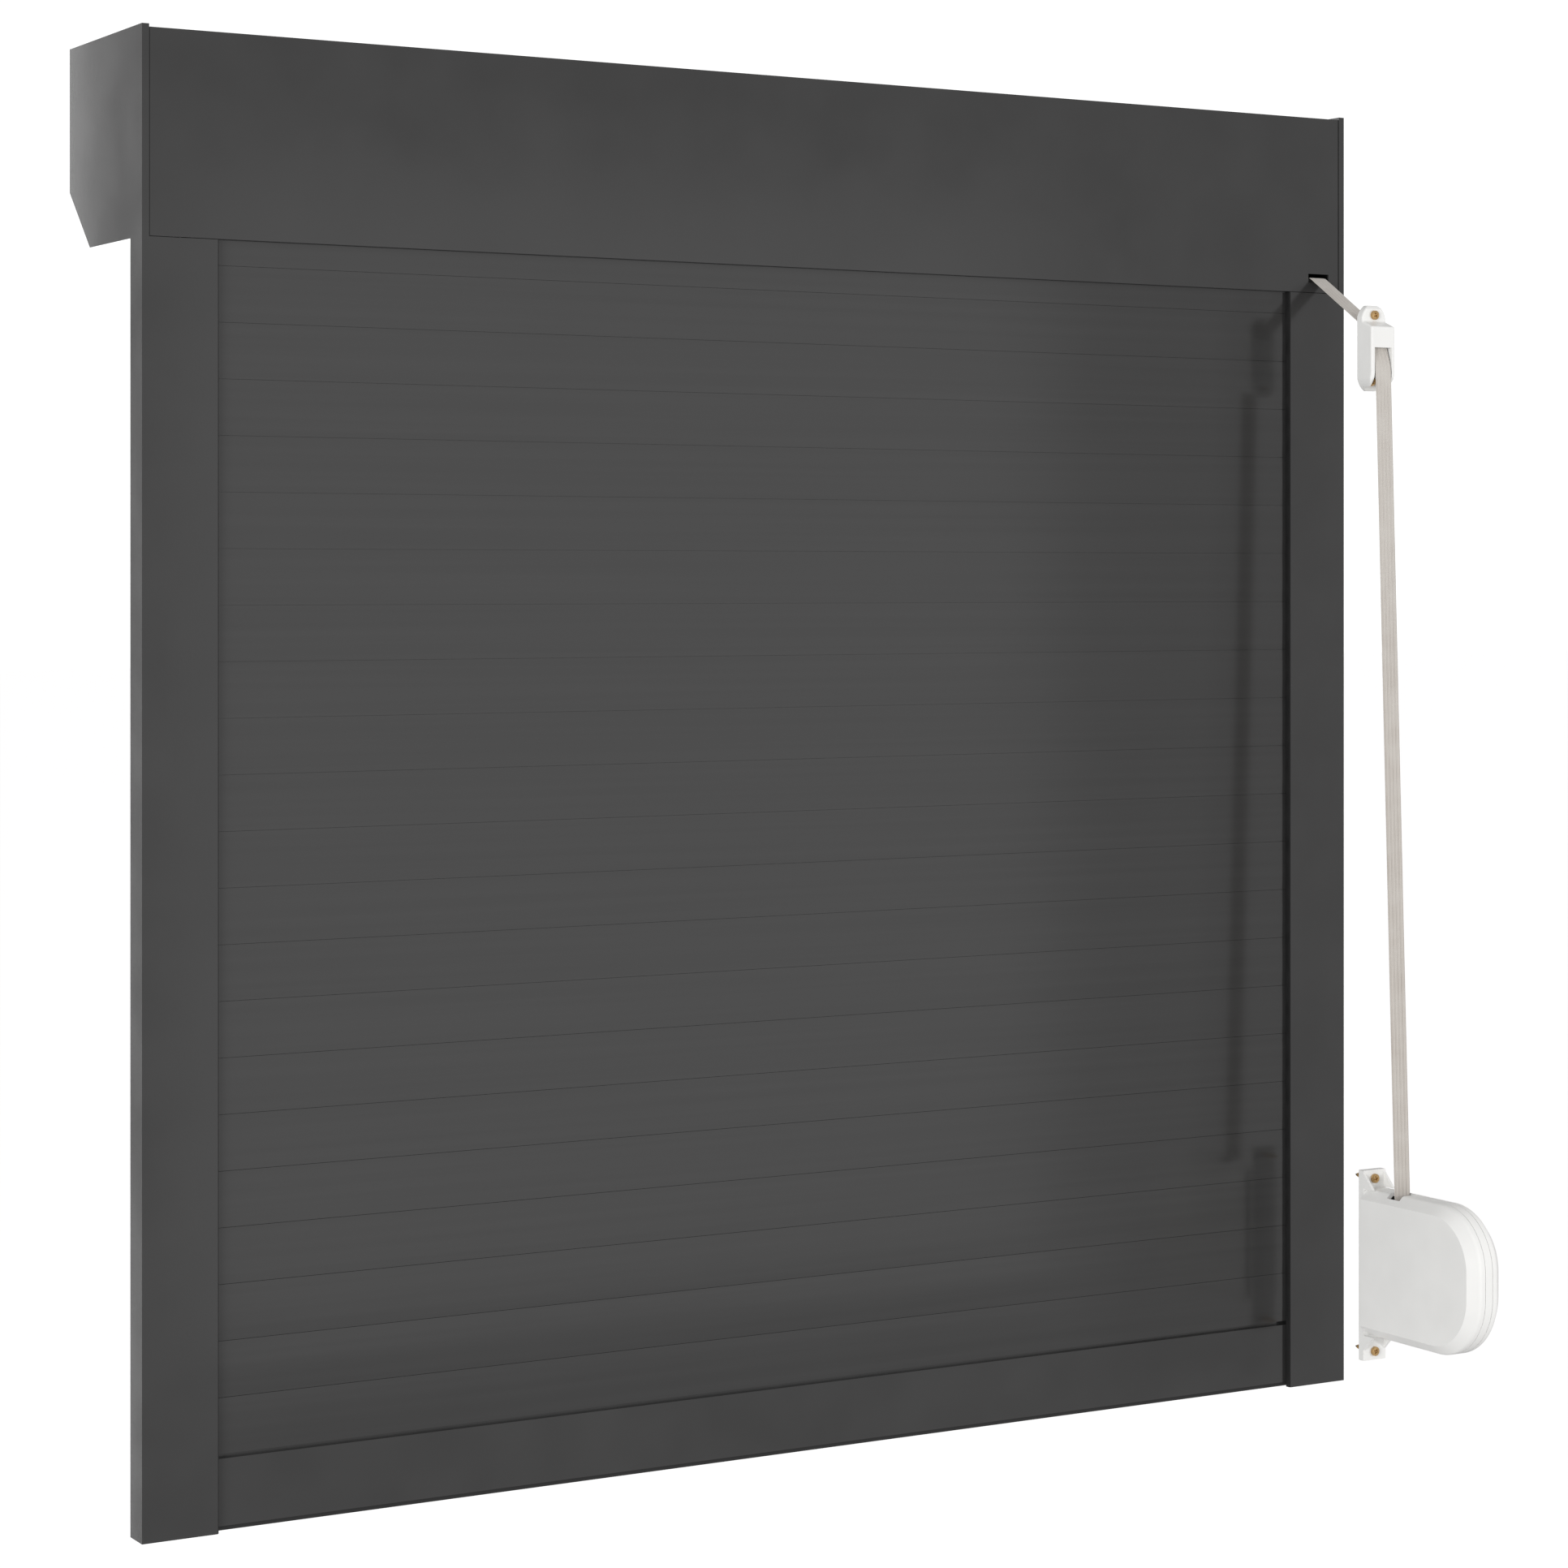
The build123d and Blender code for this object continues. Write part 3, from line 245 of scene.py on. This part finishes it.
# Funnels above the rails and the lead-in behind the strap's slot. Injection-moulded black
# polyamide, pushed on; spark-eroded texture from the mould.
def moulded_plastic(name, dark, light, roughness, texture_depth):
    """Moulded plastic with the even, fine texture of a spark-eroded mould."""
    material, tree, surface, place = node_material(name)
    cloud = noise(tree, place, 0.03)
    grain = noise(tree, place, 0.0007, detail=3)
    shade = tint(tree, ramp(tree, cloud, 0, 1), dark, light)
    tree.links.new(shade, surface.inputs["Base Color"])
    tree.links.new(ramp(tree, cloud, roughness - 0.04, roughness + 0.04),
                   surface.inputs["Roughness"])
    tree.links.new(bump(tree, grain, texture_depth), surface.inputs["Normal"])
    return material


black_plastic = moulded_plastic("black_moulded_polyamide", "101010", "161616", 0.5, 0.00002)
dress(black_plastic, "rail_inlet_left", "rail_inlet_right", "strap_inlet")


# The shaft. An eight-sided galvanised steel tube with plugs and a strap pulley of grey
# polyamide, on two small ball bearings; spring-steel strips hold the curtain.
def zinc_coat(name, dark, light, crystal, roughness):
    """Zinc-dipped steel: crystals that reflect a little differently, finely scratched."""
    material, tree, surface, place = node_material(name)
    spangle = add(tree, "TexVoronoi", {"Vector": place, "Scale": 1 / crystal})
    shade_of_crystal = spangle.outputs["Color"]
    scratches = noise(tree, place, 0.0008, stretch=(40, 1, 1))
    tree.links.new(tint(tree, shade_of_crystal, dark, light), surface.inputs["Base Color"])
    tree.links.new(ramp(tree, shade_of_crystal, roughness - 0.06, roughness + 0.08, 0, 1),
                   surface.inputs["Roughness"])
    tree.links.new(bump(tree, scratches, 0.000006), surface.inputs["Normal"])
    surface.inputs["Metallic"].default_value = 1
    return material


galvanised = zinc_coat("galvanised_steel", "9b9fa3", "b4b7ba", 0.006, 0.38)
dress(galvanised, "shaft_tube", "shaft_bearing_left", "shaft_bearing_right",
      "curtain_hangers", "winder_axle", "winder_spring")
nylon = moulded_plastic("grey_moulded_polyamide", "8c8c89", "979794", 0.45, 0.000015)
dress(nylon, "strap_pulley", "shaft_end_plug", "winder_reel")


# Guide and winder. White ABS, moulded in halves; the faces are satin, slightly warm, and the
# open line between the halves stays dark.
white_plastic = moulded_plastic("white_moulded_abs", "e3e3e1", "e7e7e5", 0.34, 0.000012)
dress(white_plastic, "strap_guide", "winder_base", "winder_cover_left", "winder_cover_right")


# The strap. A woven polyester belt, 15 mm wide and 1 mm thick, with cords along it that show as
# ribs and a tight selvedge at each side. It is taut between the pulley in the box, the saddle
# of the guide and the reel in the winder.
strap_width = 0.015
strap_thickness = 0.00096
strap_selvedge = 0.0006
strap_x = 0.475
strap_ribs = 12


def rounded_route(corners, radii, step=radians(12)):
    """Points along a route of straight lines whose inner corners are arcs of these radii."""
    points = [corners[0]]
    for before, corner, after, radius in zip(corners, corners[1:], corners[2:], radii):
        back, on = (before - corner).normalized(), (after - corner).normalized()
        turn = pi - back.angle(on)
        reach = radius * (1 / cos(turn / 2))
        middle = corner + (back + on).normalized() * reach
        arc_start = corner + back * radius * sin(turn / 2) / cos(turn / 2)
        first = atan2(arc_start.y - middle.y, arc_start.x - middle.x)
        way = 1 if back.x * on.y - back.y * on.x < 0 else -1
        count = max(2, ceil(turn / step))
        for index in range(count + 1):
            angle = first + way * turn * index / count
            points.append(middle + radius * Vector((cos(angle), sin(angle))))
    return points + [corners[-1]]


def wound_route(middle, first_radius, last_radius, last_angle, turns, way, steps=40):
    """Points along a spiral from the hub outwards, which ends at an angle round its middle."""
    count = ceil(turns * steps)
    points = []
    for index in range(count + 1):
        share = index / count
        radius = first_radius + (last_radius - first_radius) * share
        angle = last_angle - way * tau * turns * (1 - share)
        points.append(Vector(middle) + radius * Vector((cos(angle), sin(angle))))
    return points


def strap_section(points_per_rib):
    """Outline of the strap's cross section: along its width, out from its middle plane."""
    inner = strap_width - 2 * strap_selvedge
    count = strap_ribs * points_per_rib
    rib_depth = 0.00013
    upper = []
    for index in range(count + 1):
        share = index / count
        swell = abs(sin(pi * strap_ribs * share)) ** 0.7
        upper.append((-inner / 2 + inner * share,
                      strap_thickness / 2 - rib_depth * (1 - swell)))
    edge = [(strap_width / 2 - strap_selvedge / 3, strap_thickness / 3), (strap_width / 2, 0),
            (strap_width / 2 - strap_selvedge / 3, -strap_thickness / 3)]
    lower = [(x, -out) for x, out in reversed(upper)]
    return upper + edge + lower + [(-x, -out) for x, out in edge]


def ribbon(name, route, points_per_rib, body):
    """A length of strap along a route of points (y, z), which rides on a body."""
    section = strap_section(points_per_rib)
    around = len(section)
    vertices, faces = [], []
    for index, point in enumerate(route):
        ahead = route[min(index + 1, len(route) - 1)] - route[max(index - 1, 0)]
        out = Vector((-ahead.y, ahead.x)).normalized()
        for across, height in section:
            y, z = point + out * height
            vertices.append((strap_x + across, y, z))
    for row in range(len(route) - 1):
        for column in range(around):
            beside = (column + 1) % around
            low, high = row * around, (row + 1) * around
            faces.append((low + column, low + beside, high + beside, high + column))
    faces.append(tuple(range(around)))
    faces.append(tuple(reversed(range(len(vertices) - around, len(vertices)))))
    return shaped_piece(name, vertices, faces, body)


def shaped_piece(name, vertices, faces, body, sharp_angle=radians(35)):
    """A new smooth-shaded piece with its normals outwards, which rides on a body."""
    mesh = bpy.data.meshes.new(name)
    mesh.from_pydata(vertices, [], faces)
    mesh.update()
    piece = bpy.data.objects.new(name, mesh)
    bpy.context.scene.collection.objects.link(piece)
    for face in mesh.polygons:
        face.use_smooth = True
    mesh.set_sharp_from_angle(angle=sharp_angle)
    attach(piece, body)
    return piece


def woven_polyester():
    """Woven belt: cords in paler and darker stripes, painted shade between the cords, picks across,
    paler and greyer towards the top.
    """
    material, tree, surface, place = node_material("woven_polyester")
    parts = add(tree, "SeparateXYZ", {"Vector": place})
    rib_pitch = (strap_width - 2 * strap_selvedge) / strap_ribs
    ribs_per_stripe = 3
    weft_pitch = 0.0011
    across = add(tree, "Math", {0: parts.outputs["X"], 1: pi / rib_pitch}, operation="MULTIPLY")
    warp = add(tree, "Math", {0: across.outputs[0]}, operation="SINE")
    along = add(tree, "Math", {0: parts.outputs["Z"], 1: tau / weft_pitch},
                operation="MULTIPLY")
    weft = add(tree, "Math", {0: along.outputs[0]}, operation="SINE")
    weave = add(tree, "Math", {0: warp.outputs[0], 1: weft.outputs[0]}, operation="MULTIPLY")
    yarn = noise(tree, place, 0.0004, detail=3)
    wear = noise(tree, place, 0.02)
    # Painted shade: the colour darkens in the grooves between the cords and is palest on their
    # crowns.
    painted_groove_shade = add(tree, "Math", {0: warp.outputs[0]}, operation="ABSOLUTE")
    group = add(tree, "Math", {0: across.outputs[0], 1: 2 / ribs_per_stripe},
                operation="MULTIPLY")
    stripe = add(tree, "Math", {0: group.outputs[0]}, operation="SINE")
    # Paler and darker stripes of cords, plus the painted shade between the cords.
    light = add(tree, "Math", {0: stripe.outputs[0], 1: 0.3, 2: painted_groove_shade.outputs[0]},
                operation="MULTIPLY_ADD")
    shade = tint(tree, light.outputs[0], "9a928b", "beb8b1")
    # The colour turns paler and greyer towards the top of the strap, and in random blotches.
    paler_towards_top = add(tree, "MapRange", {"Value": parts.outputs["Z"], "From Min": 0.4,
                                     "From Max": 0.8, "To Min": 0, "To Max": 0.4})
    blotches_and_paler_top = add(tree, "Math", {0: ramp(tree, wear, 0, 0.5), 1: paler_towards_top.outputs[0]},
                  operation="ADD")
    blotched_and_paler = add(tree, "MixRGB", {"Fac": blotches_and_paler_top.outputs[0], "Color1": shade,
                                  "Color2": colour("c2beb8")}, blend_type="MIX")
    tree.links.new(blotched_and_paler.outputs[0], surface.inputs["Base Color"])
    tree.links.new(ramp(tree, yarn, 0.72, 0.9), surface.inputs["Roughness"])
    weave_normal = bump(tree, weave.outputs[0], 0.00006)
    tree.links.new(bump(tree, yarn, 0.00004, weave_normal), surface.inputs["Normal"])
    surface.inputs["Sheen Weight"].default_value = 0.15
    return material


strap_corners = [Vector((0.0755, 0.8798)), Vector((0.00125, 0.8716)), Vector((-0.0705, 0.826)),
                 Vector((-0.0792, 0.798)), Vector((-0.102, 0.1616)), Vector((-0.118, 0.1016))]
strap_bends = (0.0065, 0.0065, 0.03, 0.013)
strap_pieces = [
    ribbon("strap_belt", rounded_route(strap_corners, strap_bends), 4, "frame"),
    ribbon("strap_on_pulley",
           wound_route((0.070, 0.930), 0.0457, 0.0494, radians(-84), 4, -1), 2, "shaft"),
    ribbon("strap_on_reel",
           wound_route((-0.142, 0.108), 0.0207, 0.0234, radians(-14), 3, 1), 2, "reel"),
]
weave = woven_polyester()
for piece, node in zip(strap_pieces, ("strap", "strap_coil", "reel_coil")):
    piece.data.materials.append(weave)
    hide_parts(node)


# The screws. Pan-head chipboard screws of steel with yellow passivated zinc: cold-formed head
# with a cross recess, rolled thread up to a plain neck, gimlet point.
screw_head_radius = 0.0036
screw_head_height = 0.0024
screw_radius = 0.0019
screw_neck_radius = 0.0017
screw_tip = 0.004
recess_reach = 0.0021
recess_width = 0.00055
recess_depth = 0.0013


def head_height_at(x, y):
    """Height of the screw's head above its seat, with the cross pressed into it."""
    radius = hypot(x, y)
    crown = 0.62 * screw_head_height
    dome = crown + (screw_head_height - crown) * sqrt(max(0, 1 - (radius / screw_head_radius) ** 2))
    along, beside = max(abs(x), abs(y)), min(abs(x), abs(y))
    slope = 0.00025
    inside = min((recess_reach - along) / (2 * slope), (recess_width - beside) / slope)
    narrowing = 1 - 0.55 * along / recess_reach
    return dome - recess_depth * narrowing * min(1, max(0, inside))


def screw_shape(held, length, turn):
    """Vertices and faces of a screw with its seat at zero, pointing up."""
    vertices, faces = [], []

    def rows(count, around, point):
        """A grid of points, closed round, and its faces."""
        start = len(vertices)
        for row in range(count):
            for column in range(around):
                vertices.append(point(row, tau * column / around))
        for row in range(count - 1):
            for column in range(around):
                low = start + row * around
                beside = (column + 1) % around
                faces.append((low + column, low + around + column, low + around + beside,
                              low + beside))
        faces.append(tuple(start + column for column in range(around)))
        last = start + (count - 1) * around
        faces.append(tuple(last + column for column in reversed(range(around))))

    head_rings, head_around = 24, 72

    def on_head(row, angle):
        radius = screw_head_radius * max(0.02, row / head_rings)
        if row >= head_rings:
            return (screw_head_radius * cos(angle), screw_head_radius * sin(angle), 0)
        x, y = radius * cos(angle), radius * sin(angle)
        return x, y, -head_height_at(x * cos(turn) - y * sin(turn), x * sin(turn) + y * cos(turn))

    rows(head_rings + 1, head_around, on_head)
    thread_pitch, thread_depth, row_step = 0.0018, 0.00055, 0.0003
    shank_rows = ceil(length / row_step)

    def on_shank(row, angle):
        height = min(row * row_step, length)
        if height < held:
            radius = screw_neck_radius
        else:
            phase = (height / thread_pitch - angle / tau) % 1
            ridge = max(0, 1 - abs(phase - 0.5) / 0.28)
            radius = screw_radius - thread_depth * (1 - ridge)
            radius *= min(1, max(0.03, (length - height) / screw_tip))
        return radius * cos(angle), radius * sin(angle), height

    rows(shank_rows + 1, 28, on_shank)
    return vertices, faces


def screws(name, node, material, reach, seats):
    """All screws of one kind; a seat is a point, a direction, the held thickness and a turn."""
    vertices, faces = [], []
    for seat, direction, held, turn in seats:
        shape, sides = screw_shape(held, held + reach, radians(turn))
        place = (Matrix.Translation(seat)
                 @ Vector(direction).to_track_quat("Z", "Y").to_matrix().to_4x4())
        faces += [tuple(len(vertices) + corner for corner in side) for side in sides]
        vertices += [place @ Vector(point) for point in shape]
    piece = shaped_piece(name, vertices, faces, "frame")
    piece.data.materials.append(material)
    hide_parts(node)


def passivated_zinc():
    """Yellow passivated zinc: pale straw gold that drifts in tone, rubbed paler in spots."""
    material, tree, surface, place = node_material("yellow_passivated_zinc")
    drift = noise(tree, place, 0.0025, detail=3)
    rubbed = noise(tree, place, 0.0009, detail=3)
    gold = tint(tree, ramp(tree, drift, 0, 1), "b28f60", "d6b27c")
    worn = add(tree, "MixRGB", {"Fac": ramp(tree, rubbed, 0, 0.6, 0.55, 0.75), "Color1": gold,
                                "Color2": colour("d8c7a4")})
    tree.links.new(worn.outputs[0], surface.inputs["Base Color"])
    tree.links.new(ramp(tree, rubbed, 0.28, 0.42), surface.inputs["Roughness"])
    tree.links.new(bump(tree, rubbed, 0.00001), surface.inputs["Normal"])
    surface.inputs["Metallic"].default_value = 1
    return material


yellow_zinc = passivated_zinc()
screws("wall_screws_of_guide", "strap_guide_screws", yellow_zinc, 0.006,
       [((strap_x, -0.0645, 0.7875), (0, 1, 0), 0.0025, 10),
        ((strap_x, -0.0685, 0.8385), (0, 1, 0), 0.0065, 32)])
screws("wall_screws_of_winder", "winder_screws", yellow_zinc, 0.018,
       [((0.476, -0.0675, height), (0, 1, 0), 0.0055, turn)
        for height, turn in ((0.0377, 65), (0.1713, 21))])


# The screws of the service cover. The same shape in galvanised steel, two at each end of the
# slope, driven into the rims of the end plates.
cover_seats = [((side * 0.4912, 0.120086 + step, 0.881914 + step), (0, -1, 1), 0.0015, 40 * side)
               for side in (-1, 1) for step in (-0.01025, 0.01025)]
screws("screws_of_cover", "cover_screws", galvanised, 0.0075, cover_seats)
